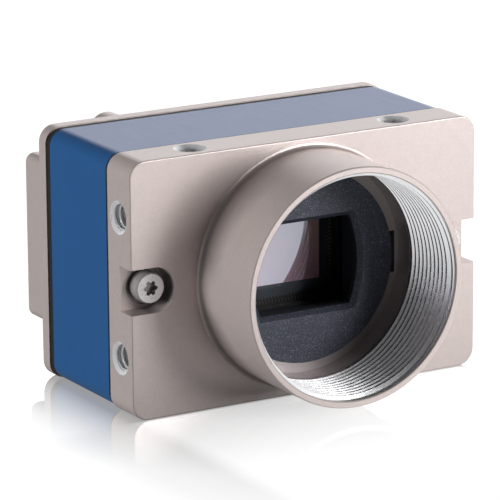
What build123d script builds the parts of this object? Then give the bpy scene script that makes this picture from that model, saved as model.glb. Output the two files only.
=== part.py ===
from build123d import *
import os

os.makedirs("parts", exist_ok=True)

# All sizes are millimetres. The lens looks towards -Y and +Z is up.
# The origin is the middle of the footprint on the surface the camera stands on.

# Lens mount and the front housing
flange_distance = 17.53
thread_radius = 12.7
thread_length = 8.9
mouth_chamfer = 0.1
rim_width = 0.75
barrel_land = 1.05
barrel_fillet = 0.45
rim_chamfer = 0.12
front_depth = 5.1
corner_radius = 1.9
edge_round = 0.15
bore_wall_inset = 0.45
ledge_width = 1.2
ledge_depth = 0.5

# Tapped holes for brackets, on all four sides of the front housing
bracket_hole_radius = 1.5
bracket_hole_depth = 4.0
bracket_sink_radius = 1.85
bracket_hole_setback = 2.7
top_hole_spacing = 26.0
side_hole_spacing = 15.8

# Clamp screws and their pockets in the front face
screw_edge = 2.9
screw_radius = 1.0
screw_head_radius = 1.75
screw_head_height = 2.0
screw_head_chamfer = 0.15
screw_recess_radius = 0.62
screw_lobe_share = 0.38
screw_recess_depth = 0.8
screw_clearance = 0.15
screw_end_wall = 0.35
pocket_width = 5.1
pocket_depth = 2.6
counterbore_radius = 2.15
counterbore_depth = 0.3

# Centre sleeve and gaskets
sleeve_inset = 0.12
sleeve_wall = 1.3
front_gasket_depth = 0.55
rear_gasket_depth = 0.85
gasket_inset = 0.04
spigot_wall = 1.0
front_spigot_height = 2.0
rear_spigot_height = 2.0
fit_clearance = 0.1

# Image sensor in its ceramic package
die_setback = 1.63
die_thickness = 0.4
die_width = 13.4
die_height = 10.0
cavity_width = 15.6
cavity_height = 11.8
cavity_depth = 0.95
package_width = 19.4
package_height = 15.6
package_floor = 1.25
glass_margin = 0.7
glass_thickness = 0.7

# Black baffle in front of the sensor
baffle_proud = 0.7
baffle_flange_width = 0.9
baffle_flange_thickness = 1.2
baffle_gap = 0.3
lip_thickness = 1.3
lip_bevel = 0.5
window_side_land = 4.3
window_top_land = 5.95
window_side_radius = 13.0
recess_side_step = 1.05
recess_top_step = 1.0
key_height = 4.6
key_reach = 0.6
dimple_radius = 0.4
dimple_depth = 0.15
dimple_inset = 1.5

# Boards, spacers and board screws
board_thickness = 1.0
board_gap = 2.0
board_clearance = 0.5
board_corner = 1.0
boss_radius = 1.9
boss_inset = 2.6
board_screw_radius = 0.8
board_screw_head_radius = 1.4
board_screw_head_height = 1.0
board_screw_grip = 2.2
spacer_radius = 1.5

# Connectors between the boards
link_length = 16.0
link_width = 3.2
link_inset = 2.7
socket_height = 1.2
socket_wall = 0.6
tongue_height = 0.7

# Parts on the boards
processor_size = 13.0
processor_height = 1.3
memory_width = 7.0
memory_length = 9.0
memory_height = 1.0
memory_spacing = 18.0
ethernet_chip_size = 6.0
ethernet_chip_height = 0.9
transformer_length = 11.6
transformer_width = 6.6
transformer_height = 3.4
transformer_bevel = 0.4
coil_size = 4.0
coil_height = 1.5
coil_spacing = 8.0
capacitor_length = 2.0
capacitor_width = 1.25
capacitor_height = 1.2
capacitor_spacing = 2.4
part_margin = 1.2
rear_clearance = 0.77

# Rear cover with the raised block around the network jack
rear_depth = 1.65
block_depth = 6.9
block_side_wall = 2.65
block_top_wall = 3.05
block_base_wall = 2.65
block_corner = 1.05
block_round = 0.3
lock_hole_radius = 1.0
lock_hole_depth = 5.5
lock_boss_radius = 2.3
lock_boss_land = 1.2
lock_hole_offset = 4.3
opening_clearance = 0.1

# Network jack
jack_width = 15.4
jack_height = 13.4
jack_recess = 0.15
jack_shell_thickness = 0.25
jack_floor = 1.6
jack_base_wall = 1.95
plug_width = 11.8
plug_height = 6.7
latch_width = 6.2
latch_height = 1.5
tab_width = 3.2
tab_height = 1.3
contact_count = 8
contact_pitch = 1.02
contact_width = 0.4
contact_thickness = 0.2
contact_rise = 1.7
contact_mouth_gap = 1.2
contact_run = 6.5

# Input and output connector with its lock holes
port_width = 10.4
port_height = 5.6
port_proud = 0.8
port_wall = 0.9
port_cavity_depth = 4.4
port_pin_rows = 2
port_pin_columns = 5
port_pin_pitch = 1.27
port_pin_width = 0.46
port_pin_recess = 1.2
port_key_width = 2.4
port_side_margin = 5.575
port_lock_gap = 2.2
port_lock_depth = 1.2

# Status light
light_radius = 1.0
light_flange_radius = 1.6
light_flange_thickness = 0.6
light_proud = 0.15
light_chamfer = 0.2
light_height = 9.6
led_width = 1.6
led_height = 0.8

# Outline sizes that follow from the ones above. The height takes the barrel and the lock bosses,
# and the width takes the jack, its wall and the port.
barrel_radius = thread_radius + rim_width
lock_z = jack_height / 2 + lock_hole_offset
body_height = 2 * max(barrel_radius + barrel_land, lock_z + lock_boss_radius + lock_boss_land)
axis_height = body_height / 2
barrel_length = flange_distance - front_depth - die_setback
board_inset = screw_edge + screw_radius + board_clearance
block_reach = board_inset + jack_width + block_side_wall
body_width = block_reach + port_width + 2 * port_side_margin
sleeve_width = body_width - 2 * sleeve_inset
sleeve_height = body_height - 2 * sleeve_inset
sleeve_corner = corner_radius
inner_width = sleeve_width - 2 * sleeve_wall
inner_height = sleeve_height - 2 * sleeve_wall
inner_corner = sleeve_corner - sleeve_wall
spigot_width = inner_width - 2 * fit_clearance
spigot_height = inner_height - 2 * fit_clearance
spigot_corner = inner_corner - fit_clearance
screw_x = body_width / 2 - screw_edge
board_width = body_width - 2 * board_inset
board_height = inner_height - 2 * board_clearance
boss_x = board_width / 2 - boss_inset
boss_z = board_height / 2 - boss_inset
board_stack = 3 * board_thickness + 2 * board_gap

# Depths from the front of the barrel to the back of the block
sensor_stack = die_setback + die_thickness + package_floor
inner_depth = sensor_stack + board_stack + transformer_height + rear_clearance
total_depth = barrel_length + front_depth + inner_depth + rear_depth + block_depth
rim_y = -total_depth / 2
face_y = rim_y + barrel_length
seat_y = face_y + front_depth
die_y = seat_y + die_setback
cavity_floor_y = die_y + die_thickness
package_y = cavity_floor_y - cavity_depth
glass_y = package_y - glass_thickness
sensor_board_y = cavity_floor_y + package_floor
processor_board_y = sensor_board_y + board_thickness + board_gap
interface_board_y = processor_board_y + board_thickness + board_gap
stack_end_y = interface_board_y + board_thickness
cover_y = stack_end_y + transformer_height + rear_clearance
rear_y = cover_y + rear_depth
end_y = rear_y + block_depth
sleeve_y = seat_y + front_gasket_depth
sleeve_end_y = cover_y - rear_gasket_depth
sleeve_length = sleeve_end_y - sleeve_y

# Places across the optical axis
jack_x = -(board_width - jack_width) / 2
port_x = block_reach / 2
port_lock_z = port_height / 2 + port_lock_gap
block_height = jack_height + block_top_wall + block_base_wall
block_z = (block_top_wall - block_base_wall) / 2
link_z = board_height / 2 - link_inset
transformer_x = jack_x + jack_width / 2 + part_margin + transformer_length / 2
transformer_z = -(port_height + transformer_width) / 2 - part_margin
ethernet_chip_z = -(memory_length + ethernet_chip_size) / 2 - part_margin
screw_places = [(-screw_x, 0), (screw_x, 0)]
boss_places = [(x, z) for x in (-boss_x, boss_x) for z in (-boss_z, boss_z)]

# Radii, window and depths inside the front housing and the baffle
bore_wall_radius = thread_radius - bore_wall_inset
baffle_bore_radius = bore_wall_radius - ledge_width
ledge_y = face_y + ledge_depth
baffle_y = ledge_y - baffle_proud
baffle_end_y = glass_y - baffle_gap
flange_y = baffle_end_y - baffle_flange_thickness
flange_bore_radius = baffle_bore_radius + baffle_flange_width
window_width = 2 * (baffle_bore_radius - window_side_land)
window_height = 2 * (baffle_bore_radius - window_top_land)
screw_seat_y = face_y + pocket_depth + counterbore_depth
screw_bore_depth = rear_depth - screw_end_wall
mouth_y = end_y - jack_recess

optical_axis = Axis((0, 0, axis_height), (0, 1, 0))


def section(y):
    """Plane square to the optical axis at depth y; a negative amount extrudes to the rear."""
    return Plane(origin=(0, y, axis_height), x_dir=(1, 0, 0), z_dir=(0, -1, 0))


def save(builder, name):
    """Label a finished piece and write it."""
    builder.part.label = name
    export_step(builder.part, "parts/" + name + ".step")


# Front housing: plate, lens barrel, bosses for the boards and a spigot for the sleeve
with BuildPart() as front_housing:
    with BuildSketch(section(face_y)):
        RectangleRounded(body_width, body_height, corner_radius)
    extrude(amount=-front_depth)
    front_face = front_housing.faces().sort_by(Axis.Y)[0]
    fillet(front_face.edges(), min(edge_round, barrel_land / 3))
    with BuildSketch(section(face_y)):
        Circle(barrel_radius)
    extrude(amount=barrel_length)
    barrel_rings = front_housing.edges().filter_by(GeomType.CIRCLE).group_by(SortBy.RADIUS)[-1]
    fillet(barrel_rings.sort_by(Axis.Y)[-1], min(barrel_fillet, barrel_land / 2))
    chamfer(front_housing.edges().sort_by(Axis.Y)[0], rim_chamfer)
    # Spigot that locates the sleeve, open where the clamp screws pass
    with BuildSketch(section(seat_y)):
        RectangleRounded(spigot_width, spigot_height, spigot_corner)
        offset(amount=-spigot_wall, kind=Kind.INTERSECTION, mode=Mode.SUBTRACT)
        with Locations(*screw_places):
            Rectangle(2 * screw_edge, pocket_width, mode=Mode.SUBTRACT)
    extrude(amount=-front_spigot_height)
    with BuildSketch(section(seat_y)):
        with Locations(*boss_places):
            Circle(boss_radius)
    extrude(amount=seat_y - sensor_board_y)
    # Stepped bore: mouth chamfer, thread, plain wall, ledge, baffle seat and flange seat
    with BuildSketch(Plane.XY.offset(axis_height)):
        with BuildLine():
            Polyline(
                (0, rim_y),
                (thread_radius + mouth_chamfer, rim_y),
                (thread_radius, rim_y + mouth_chamfer),
                (thread_radius, rim_y + thread_length),
                (bore_wall_radius, rim_y + thread_length),
                (bore_wall_radius, ledge_y),
                (baffle_bore_radius, ledge_y),
                (baffle_bore_radius, flange_y),
                (flange_bore_radius, flange_y),
                (flange_bore_radius, seat_y),
                (0, seat_y),
                close=True,
            )
        make_face()
    revolve(axis=optical_axis, mode=Mode.SUBTRACT)
    # Notch in the ledge that keeps the baffle from turning
    with BuildSketch(section(ledge_y)):
        with Locations((baffle_bore_radius, 0)):
            Rectangle(2 * (key_reach + fit_clearance), key_height + 2 * fit_clearance)
    extrude(amount=ledge_y - flange_y, mode=Mode.SUBTRACT)
    # Screw pockets, open to the sides, with counterbores and through holes
    with BuildSketch(section(face_y)):
        with Locations(*screw_places):
            Circle(pocket_width / 2)
        for side in (-1, 1):
            with Locations((side * (screw_x + screw_edge), 0)):
                Rectangle(2 * screw_edge, pocket_width)
    extrude(amount=-pocket_depth, mode=Mode.SUBTRACT)
    with BuildSketch(section(face_y)):
        with Locations(*screw_places):
            Circle(counterbore_radius)
    extrude(amount=face_y - screw_seat_y, mode=Mode.SUBTRACT)
    with BuildSketch(section(face_y)):
        with Locations(*screw_places):
            Circle(screw_radius + screw_clearance)
    extrude(amount=-front_depth, mode=Mode.SUBTRACT)
    # Board screw holes in the bosses
    with BuildSketch(section(sensor_board_y)):
        with Locations(*boss_places):
            Circle(board_screw_radius)
    extrude(amount=board_screw_grip + fit_clearance, mode=Mode.SUBTRACT)
    # Tapped bracket holes on the top, bottom, left and right
    hole_y = face_y + bracket_hole_setback
    hole_planes = []
    for side in (-1, 1):
        for x in (-top_hole_spacing / 2, top_hole_spacing / 2):
            z = axis_height + side * body_height / 2
            hole_planes.append(Plane((x, hole_y, z), x_dir=(1, 0, 0), z_dir=(0, 0, side)))
        for dz in (-side_hole_spacing / 2, side_hole_spacing / 2):
            x = side * body_width / 2
            hole_planes.append(Plane((x, hole_y, axis_height + dz), x_dir=(0, 1, 0), z_dir=(side, 0, 0)))
    with Locations(*hole_planes):
        CounterSinkHole(bracket_hole_radius, bracket_sink_radius, bracket_hole_depth, 90)
save(front_housing, "front_housing")

# Centre sleeve: a plain extruded tube
with BuildPart() as centre_sleeve:
    with BuildSketch(section(sleeve_y)):
        RectangleRounded(sleeve_width, sleeve_height, sleeve_corner)
        RectangleRounded(inner_width, inner_height, inner_corner, mode=Mode.SUBTRACT)
    extrude(amount=-sleeve_length)
save(centre_sleeve, "centre_sleeve")

# Gaskets between the sleeve and the two end pieces
for name, y, depth in (
    ("front_gasket", seat_y, front_gasket_depth),
    ("rear_gasket", sleeve_end_y, rear_gasket_depth),
):
    with BuildPart() as gasket:
        with BuildSketch(section(y)):
            RectangleRounded(
                sleeve_width - 2 * gasket_inset,
                sleeve_height - 2 * gasket_inset,
                sleeve_corner - gasket_inset,
            )
            RectangleRounded(inner_width, inner_height, inner_corner, mode=Mode.SUBTRACT)
        extrude(amount=-depth)
    save(gasket, name)

# Rear cover: plate, raised block with two lock bosses, spigot and openings
with BuildPart() as rear_cover:
    with BuildSketch(section(cover_y)):
        RectangleRounded(body_width, body_height, corner_radius)
    extrude(amount=-rear_depth)
    fillet(rear_cover.faces().sort_by(Axis.Y)[-1].edges(), min(edge_round, rear_depth / 4))
    with BuildSketch(section(rear_y)):
        with Locations((jack_x, block_z)):
            RectangleRounded(jack_width + 2 * block_side_wall, block_height, block_corner)
        with Locations((jack_x, -lock_z), (jack_x, lock_z)):
            Circle(lock_boss_radius)
    extrude(amount=-block_depth)
    fillet(rear_cover.faces().sort_by(Axis.Y)[-1].edges(), block_round)
    with BuildSketch(section(cover_y)):
        RectangleRounded(spigot_width, spigot_height, spigot_corner)
        offset(amount=-spigot_wall, kind=Kind.INTERSECTION, mode=Mode.SUBTRACT)
        with Locations(*screw_places):
            Rectangle(2 * screw_edge, pocket_width, mode=Mode.SUBTRACT)
    extrude(amount=rear_spigot_height)
    with BuildSketch(section(cover_y)):
        with Locations((jack_x, 0)):
            Rectangle(jack_width + 2 * opening_clearance, jack_height + 2 * opening_clearance)
        with Locations((port_x, 0)):
            Rectangle(port_width + 2 * opening_clearance, port_height + 2 * opening_clearance)
        with Locations((port_x, light_height)):
            Circle(light_radius + opening_clearance)
    extrude(amount=cover_y - end_y, mode=Mode.SUBTRACT)
    with BuildSketch(section(cover_y)):
        with Locations(*screw_places):
            Circle(screw_radius)
    extrude(amount=-screw_bore_depth, mode=Mode.SUBTRACT)
    with BuildSketch(section(end_y)):
        with Locations((jack_x, -lock_z), (jack_x, lock_z)):
            Circle(lock_hole_radius)
    extrude(amount=lock_hole_depth, mode=Mode.SUBTRACT)
    with BuildSketch(section(rear_y)):
        with Locations((port_x, -port_lock_z), (port_x, port_lock_z)):
            Circle(lock_hole_radius)
    extrude(amount=port_lock_depth, mode=Mode.SUBTRACT)
save(rear_cover, "rear_cover")

# Clamp screws: six-lobe heads in the front pockets, tips threaded into the rear cover
for name, x in (("clamp_screw_left", -screw_x), ("clamp_screw_right", screw_x)):
    with BuildPart() as clamp_screw:
        with BuildSketch(section(screw_seat_y)):
            with Locations((x, 0)):
                Circle(screw_head_radius)
        extrude(amount=screw_head_height)
        head_top = clamp_screw.faces().sort_by(Axis.Y)[0]
        chamfer(head_top.edges(), screw_head_chamfer)
        with BuildSketch(section(screw_seat_y)):
            with Locations((x, 0)):
                Circle(screw_radius)
        extrude(amount=screw_seat_y - cover_y - screw_bore_depth + fit_clearance)
        with BuildSketch(section(screw_seat_y - screw_head_height)):
            with Locations((x, 0)):
                Circle(screw_recess_radius)
                with PolarLocations(screw_recess_radius, 6):
                    Circle(screw_recess_radius * screw_lobe_share)
        extrude(amount=-screw_recess_depth, mode=Mode.SUBTRACT)
    save(clamp_screw, name)

# Baffle: a moulded disc with a bevelled window, a wider recess behind and a key
with BuildPart() as baffle:
    with BuildSketch(section(baffle_y)):
        Circle(baffle_bore_radius - fit_clearance)
    extrude(amount=baffle_y - baffle_end_y)
    with BuildSketch(section(flange_y)):
        Circle(flange_bore_radius - fit_clearance)
    extrude(amount=-baffle_flange_thickness)
    with BuildSketch(section(ledge_y + fit_clearance)):
        with Locations((baffle_bore_radius, 0)):
            Rectangle(2 * key_reach, key_height)
    extrude(amount=ledge_y + fit_clearance - flange_y)
    with BuildSketch(section(baffle_y)):
        Rectangle(window_width, window_height)
        for side in (-1, 1):
            with Locations((side * (window_width / 2 - window_side_radius), 0)):
                Circle(window_side_radius, mode=Mode.INTERSECT)
    extrude(amount=-lip_thickness, mode=Mode.SUBTRACT)
    lip_edges = baffle.faces().sort_by(Axis.Y)[0].inner_wires().edges()
    chamfer(lip_edges, lip_bevel)
    with BuildSketch(section(baffle_y + lip_thickness)):
        Rectangle(window_width + 2 * recess_side_step, window_height + 2 * recess_top_step)
    extrude(amount=baffle_y + lip_thickness - baffle_end_y, mode=Mode.SUBTRACT)
    with BuildSketch(section(baffle_y)):
        with Locations((baffle_bore_radius - dimple_inset, 0)):
            Circle(dimple_radius)
    extrude(amount=-dimple_depth, mode=Mode.SUBTRACT)
save(baffle, "baffle")

# Ceramic sensor package with its cavity
with BuildPart() as sensor_package:
    with BuildSketch(section(package_y)):
        Rectangle(package_width, package_height)
    extrude(amount=package_y - sensor_board_y)
    with BuildSketch(section(package_y)):
        Rectangle(cavity_width, cavity_height)
    extrude(amount=-cavity_depth, mode=Mode.SUBTRACT)
save(sensor_package, "sensor_package")

# Sensor die on the cavity floor
with BuildPart() as sensor_die:
    with BuildSketch(section(die_y)):
        Rectangle(die_width, die_height)
    extrude(amount=-die_thickness)
save(sensor_die, "sensor_die")

# Cover glass on the package
with BuildPart() as sensor_glass:
    with BuildSketch(section(glass_y)):
        Rectangle(package_width - 2 * glass_margin, package_height - 2 * glass_margin)
    extrude(amount=-glass_thickness)
save(sensor_glass, "sensor_glass")

# Three circuit boards of one outline, each with four screw holes
for name, y in (
    ("sensor_board", sensor_board_y),
    ("processor_board", processor_board_y),
    ("interface_board", interface_board_y),
):
    with BuildPart() as board:
        with BuildSketch(section(y)):
            RectangleRounded(board_width, board_height, board_corner)
            with Locations(*boss_places):
                Circle(board_screw_radius + fit_clearance, mode=Mode.SUBTRACT)
        extrude(amount=-board_thickness)
    save(board, name)

# Hexagonal spacers between the boards, around the board screws
with BuildPart() as board_spacers:
    for y in (sensor_board_y + board_thickness, processor_board_y + board_thickness):
        with BuildSketch(section(y)):
            with Locations(*boss_places):
                RegularPolygon(spacer_radius, 6)
                Circle(board_screw_radius + fit_clearance, mode=Mode.SUBTRACT)
        extrude(amount=-board_gap)
save(board_spacers, "board_spacers")

# Long screws that hold the three boards on the bosses
with BuildPart() as board_screws:
    with BuildSketch(section(stack_end_y)):
        with Locations(*boss_places):
            Circle(board_screw_head_radius)
    extrude(amount=-board_screw_head_height)
    with BuildSketch(section(stack_end_y)):
        with Locations(*boss_places):
            Circle(board_screw_radius)
    extrude(amount=stack_end_y - sensor_board_y + board_screw_grip)
save(board_screws, "board_screws")

# Sockets and plugs that join the boards; each plug has a tongue in its socket
link_places = (
    (sensor_board_y + board_thickness, -link_z),
    (processor_board_y + board_thickness, link_z),
)
with BuildPart() as board_sockets:
    for y, z in link_places:
        with BuildSketch(section(y)):
            with Locations((0, z)):
                Rectangle(link_length, link_width)
        extrude(amount=-socket_height)
        with BuildSketch(section(y + socket_height)):
            with Locations((0, z)):
                Rectangle(link_length - 2 * socket_wall, link_width - 2 * socket_wall)
        extrude(amount=tongue_height + fit_clearance, mode=Mode.SUBTRACT)
save(board_sockets, "board_sockets")

with BuildPart() as board_plugs:
    for y, z in link_places:
        with BuildSketch(section(y + socket_height)):
            with Locations((0, z)):
                Rectangle(link_length, link_width)
        extrude(amount=socket_height - board_gap)
        with BuildSketch(section(y + socket_height)):
            with Locations((0, z)):
                Rectangle(
                    link_length - 2 * (socket_wall + fit_clearance),
                    link_width - 2 * (socket_wall + fit_clearance),
                )
        extrude(amount=tongue_height)
save(board_plugs, "board_plugs")

# Processor on the front of the middle board
with BuildPart() as processor_chip:
    with BuildSketch(section(processor_board_y)):
        Rectangle(processor_size, processor_size)
    extrude(amount=processor_height)
save(processor_chip, "processor_chip")

# Memory on the back of the middle board
with BuildPart() as memory_chips:
    with BuildSketch(section(processor_board_y + board_thickness)):
        with Locations((-memory_spacing / 2, 0), (memory_spacing / 2, 0)):
            Rectangle(memory_width, memory_length)
    extrude(amount=-memory_height)
save(memory_chips, "memory_chips")

# Power coils between the memory chips
with BuildPart() as power_coils:
    with BuildSketch(section(processor_board_y + board_thickness)):
        with Locations((0, -coil_spacing), (0, 0)):
            Rectangle(coil_size, coil_size)
    extrude(amount=-coil_height)
    fillet(power_coils.edges().filter_by(Axis.Y), coil_size / 6)
save(power_coils, "power_coils")

# Network chip on the front of the interface board, clear of the memory chips that face it
with BuildPart() as ethernet_chip:
    with BuildSketch(section(interface_board_y)):
        with Locations((memory_spacing / 2, ethernet_chip_z)):
            Rectangle(ethernet_chip_size, ethernet_chip_size)
    extrude(amount=ethernet_chip_height)
save(ethernet_chip, "ethernet_chip")

# Network transformer beside the jack
with BuildPart() as ethernet_transformer:
    with BuildSketch(section(stack_end_y)):
        with Locations((transformer_x, transformer_z)):
            Rectangle(transformer_length, transformer_width)
    extrude(amount=-transformer_height)
    chamfer(ethernet_transformer.faces().sort_by(Axis.Y)[-1].edges(), transformer_bevel)
save(ethernet_transformer, "ethernet_transformer")

# Filter capacitors in a row above the input and output connector
capacitor_z = port_height / 2 + part_margin + capacitor_width / 2
with BuildPart() as capacitors:
    with BuildSketch(section(stack_end_y)):
        for column in (-1.5, -0.5, 0.5, 1.5):
            with Locations((port_x + column * capacitor_spacing, capacitor_z)):
                Rectangle(capacitor_width, capacitor_length)
    extrude(amount=-capacitor_height)
save(capacitors, "capacitors")

# Network jack: metal shell, black insulator with the plug socket, spring contacts
with BuildPart() as jack_shell:
    with BuildSketch(section(stack_end_y)):
        with Locations((jack_x, 0)):
            Rectangle(jack_width, jack_height)
            Rectangle(
                jack_width - 2 * jack_shell_thickness,
                jack_height - 2 * jack_shell_thickness,
                mode=Mode.SUBTRACT,
            )
    extrude(amount=stack_end_y - mouth_y)
save(jack_shell, "jack_shell")

socket_low_z = jack_base_wall - jack_height / 2
plug_z = socket_low_z + plug_height / 2
latch_z = socket_low_z + plug_height + latch_height / 2
tab_z = socket_low_z + plug_height + latch_height + tab_height / 2
socket_y = stack_end_y + jack_floor
with BuildPart() as jack_body:
    with BuildSketch(section(stack_end_y)):
        with Locations((jack_x, 0)):
            Rectangle(jack_width - 2 * jack_shell_thickness, jack_height - 2 * jack_shell_thickness)
    extrude(amount=stack_end_y - mouth_y)
    with BuildSketch(section(socket_y)):
        with Locations((jack_x, plug_z)):
            Rectangle(plug_width, plug_height)
        with Locations((jack_x, latch_z)):
            Rectangle(latch_width, latch_height)
        with Locations((jack_x, tab_z)):
            Rectangle(tab_width, tab_height)
    extrude(amount=socket_y - mouth_y, mode=Mode.SUBTRACT)
save(jack_body, "jack_body")

contact_z = axis_height + socket_low_z
contact_y = mouth_y - contact_mouth_gap
with BuildPart() as jack_contacts:
    for place in range(contact_count):
        x = jack_x + (place - (contact_count - 1) / 2) * contact_pitch
        with BuildSketch(Plane.YZ.offset(x)):
            with BuildLine():
                Polyline(
                    (contact_y, contact_z),
                    (contact_y - contact_run, contact_z + contact_rise),
                    (contact_y - contact_run, contact_z + contact_rise - contact_thickness),
                    (contact_y - 2 * contact_thickness, contact_z),
                    close=True,
                )
            make_face()
        extrude(amount=contact_width / 2, both=True)
save(jack_contacts, "jack_contacts")

# Input and output connector: keyed shroud and two rows of pins
port_end_y = rear_y + port_proud
port_floor_y = port_end_y - port_cavity_depth
with BuildPart() as io_connector:
    with BuildSketch(section(stack_end_y)):
        with Locations((port_x, 0)):
            Rectangle(port_width, port_height)
    extrude(amount=stack_end_y - port_end_y)
    with BuildSketch(section(port_floor_y)):
        with Locations((port_x, 0)):
            Rectangle(port_width - 2 * port_wall, port_height - 2 * port_wall)
        with Locations((port_x, port_height / 2 - port_wall)):
            Rectangle(port_key_width, port_wall)
    extrude(amount=-port_cavity_depth, mode=Mode.SUBTRACT)
save(io_connector, "io_connector")

with BuildPart() as io_pins:
    with BuildSketch(section(port_floor_y)):
        with Locations((port_x, 0)):
            with GridLocations(port_pin_pitch, port_pin_pitch, port_pin_columns, port_pin_rows):
                Rectangle(port_pin_width, port_pin_width)
    extrude(amount=port_pin_recess - port_cavity_depth)
    chamfer(io_pins.faces().group_by(Axis.Y)[-1].edges(), port_pin_width / 4)
save(io_pins, "io_pins")

# Status light: lamp on the board and a clear light pipe through the rear cover
with BuildPart() as status_led:
    with BuildSketch(section(stack_end_y)):
        with Locations((port_x, light_height)):
            Rectangle(led_width, led_width)
    extrude(amount=-led_height)
save(status_led, "status_led")

with BuildPart() as status_light:
    with BuildSketch(section(stack_end_y + led_height)):
        with Locations((port_x, light_height)):
            Circle(light_radius)
    extrude(amount=stack_end_y + led_height - rear_y - light_proud)
    with BuildSketch(section(cover_y)):
        with Locations((port_x, light_height)):
            Circle(light_flange_radius)
    extrude(amount=light_flange_thickness)
    light_tip = status_light.faces().sort_by(Axis.Y)[-1]
    chamfer(light_tip.edges(), light_chamfer)
save(status_light, "status_light")
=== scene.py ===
import math

import bpy
from mathutils import Matrix, Vector


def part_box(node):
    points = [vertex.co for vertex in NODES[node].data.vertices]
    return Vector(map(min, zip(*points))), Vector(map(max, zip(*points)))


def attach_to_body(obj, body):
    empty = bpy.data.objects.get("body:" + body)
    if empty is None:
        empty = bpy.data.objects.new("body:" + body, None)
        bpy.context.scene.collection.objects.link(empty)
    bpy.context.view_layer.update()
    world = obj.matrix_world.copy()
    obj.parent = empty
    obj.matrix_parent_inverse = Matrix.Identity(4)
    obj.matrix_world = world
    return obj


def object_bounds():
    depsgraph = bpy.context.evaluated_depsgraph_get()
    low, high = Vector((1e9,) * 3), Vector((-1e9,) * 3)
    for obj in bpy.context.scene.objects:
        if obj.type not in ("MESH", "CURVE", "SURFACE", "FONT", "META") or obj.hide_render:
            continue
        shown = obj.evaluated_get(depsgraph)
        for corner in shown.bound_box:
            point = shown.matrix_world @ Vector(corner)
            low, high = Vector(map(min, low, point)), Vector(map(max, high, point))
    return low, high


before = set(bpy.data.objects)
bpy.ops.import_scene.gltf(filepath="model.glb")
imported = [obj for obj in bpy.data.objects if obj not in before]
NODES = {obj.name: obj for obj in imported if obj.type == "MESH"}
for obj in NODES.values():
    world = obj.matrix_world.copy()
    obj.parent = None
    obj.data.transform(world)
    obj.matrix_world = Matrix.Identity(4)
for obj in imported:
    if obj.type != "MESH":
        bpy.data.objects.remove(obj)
CAD_LOW, CAD_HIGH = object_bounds()

bl_info = {
    "name": "Machine vision camera finishes",
    "version": (1, 0, 0),
    "blender": (4, 5, 0),
    "location": "View3D > Sidebar > Camera",
    "description": "Threads, bond wires, finishes and a pale stage for a compact box camera",
    "category": "Object",
}

# Places read from the frame: the lens axis runs along Y at this height, and the lens faces -Y
AXIS_HEIGHT = (CAD_LOW.z + CAD_HIGH.z) / 2
RIM_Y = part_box("front_housing")[0].y
SEAT_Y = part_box("front_gasket")[0].y
BAFFLE_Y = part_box("baffle")[0].y
GLASS_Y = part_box("sensor_glass")[0].y
REAR_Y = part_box("rear_cover")[1].y
DIE_LOW, DIE_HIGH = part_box("sensor_die")
SCREW_LOW, SCREW_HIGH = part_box("clamp_screw_right")
JACK_LOW, JACK_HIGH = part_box("jack_shell")
PORT_LOW, PORT_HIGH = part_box("io_connector")
SCREW_X = (SCREW_LOW.x + SCREW_HIGH.x) / 2
JACK_X = (JACK_LOW.x + JACK_HIGH.x) / 2
PORT_X = (PORT_LOW.x + PORT_HIGH.x) / 2

# Places along the lens axis that no box gives: the front face, the bracket holes, the inner ends of the
# lock holes' threads, and where the lock holes' bare metal may begin
FACE_Y = SEAT_Y - 0.0051
HOLE_Y = FACE_Y + 0.0027
JACK_LOCK_Y = REAR_Y - 0.0049
PORT_LOCK_Y = PORT_HIGH.y - 0.0019
LOCK_BARE_Y = 0.0106

# Distances of the screw holes' centres from the lens axis or from their socket's middle
TOP_HOLE_X = 0.013
SIDE_HOLE_RISE = 0.0079
JACK_LOCK_RISE = 0.011
PORT_LOCK_RISE = 0.005

# Share of a thread ridge's height that sits inside the wall
RIDGE_FOOT = 0.023

# The camera's angles in degrees, its place from the middle of the front face, and its lens
VIEW_AZIMUTH, VIEW_ELEVATION, VIEW_ROLL = -29.990, 14.758, -0.479
VIEW_DISTANCE, VIEW_LEFT, VIEW_RISE = 0.468393, 0.006209, 0.001847
FOCAL_PIXELS, PICTURE_PIXELS, FILM_WIDTH = 4244.489, 500.0, 36.0


def number(name, description, default, **more):
    return bpy.props.FloatProperty(name=name, description=description, default=default, **more)


def length(name, description, default):
    return number(name, description, default, min=0.0, subtype="DISTANCE", unit="LENGTH", precision=6)


def watts(name, description, default):
    return number(name, description, default, unit="POWER")


def count(name, description, default):
    return bpy.props.IntProperty(name=name, description=description, default=default, min=2)


def colour(name, description, default):
    return bpy.props.FloatVectorProperty(
        name=name, description=description, default=default, size=3, min=0.0, max=1.0, subtype="COLOR"
    )


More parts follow.
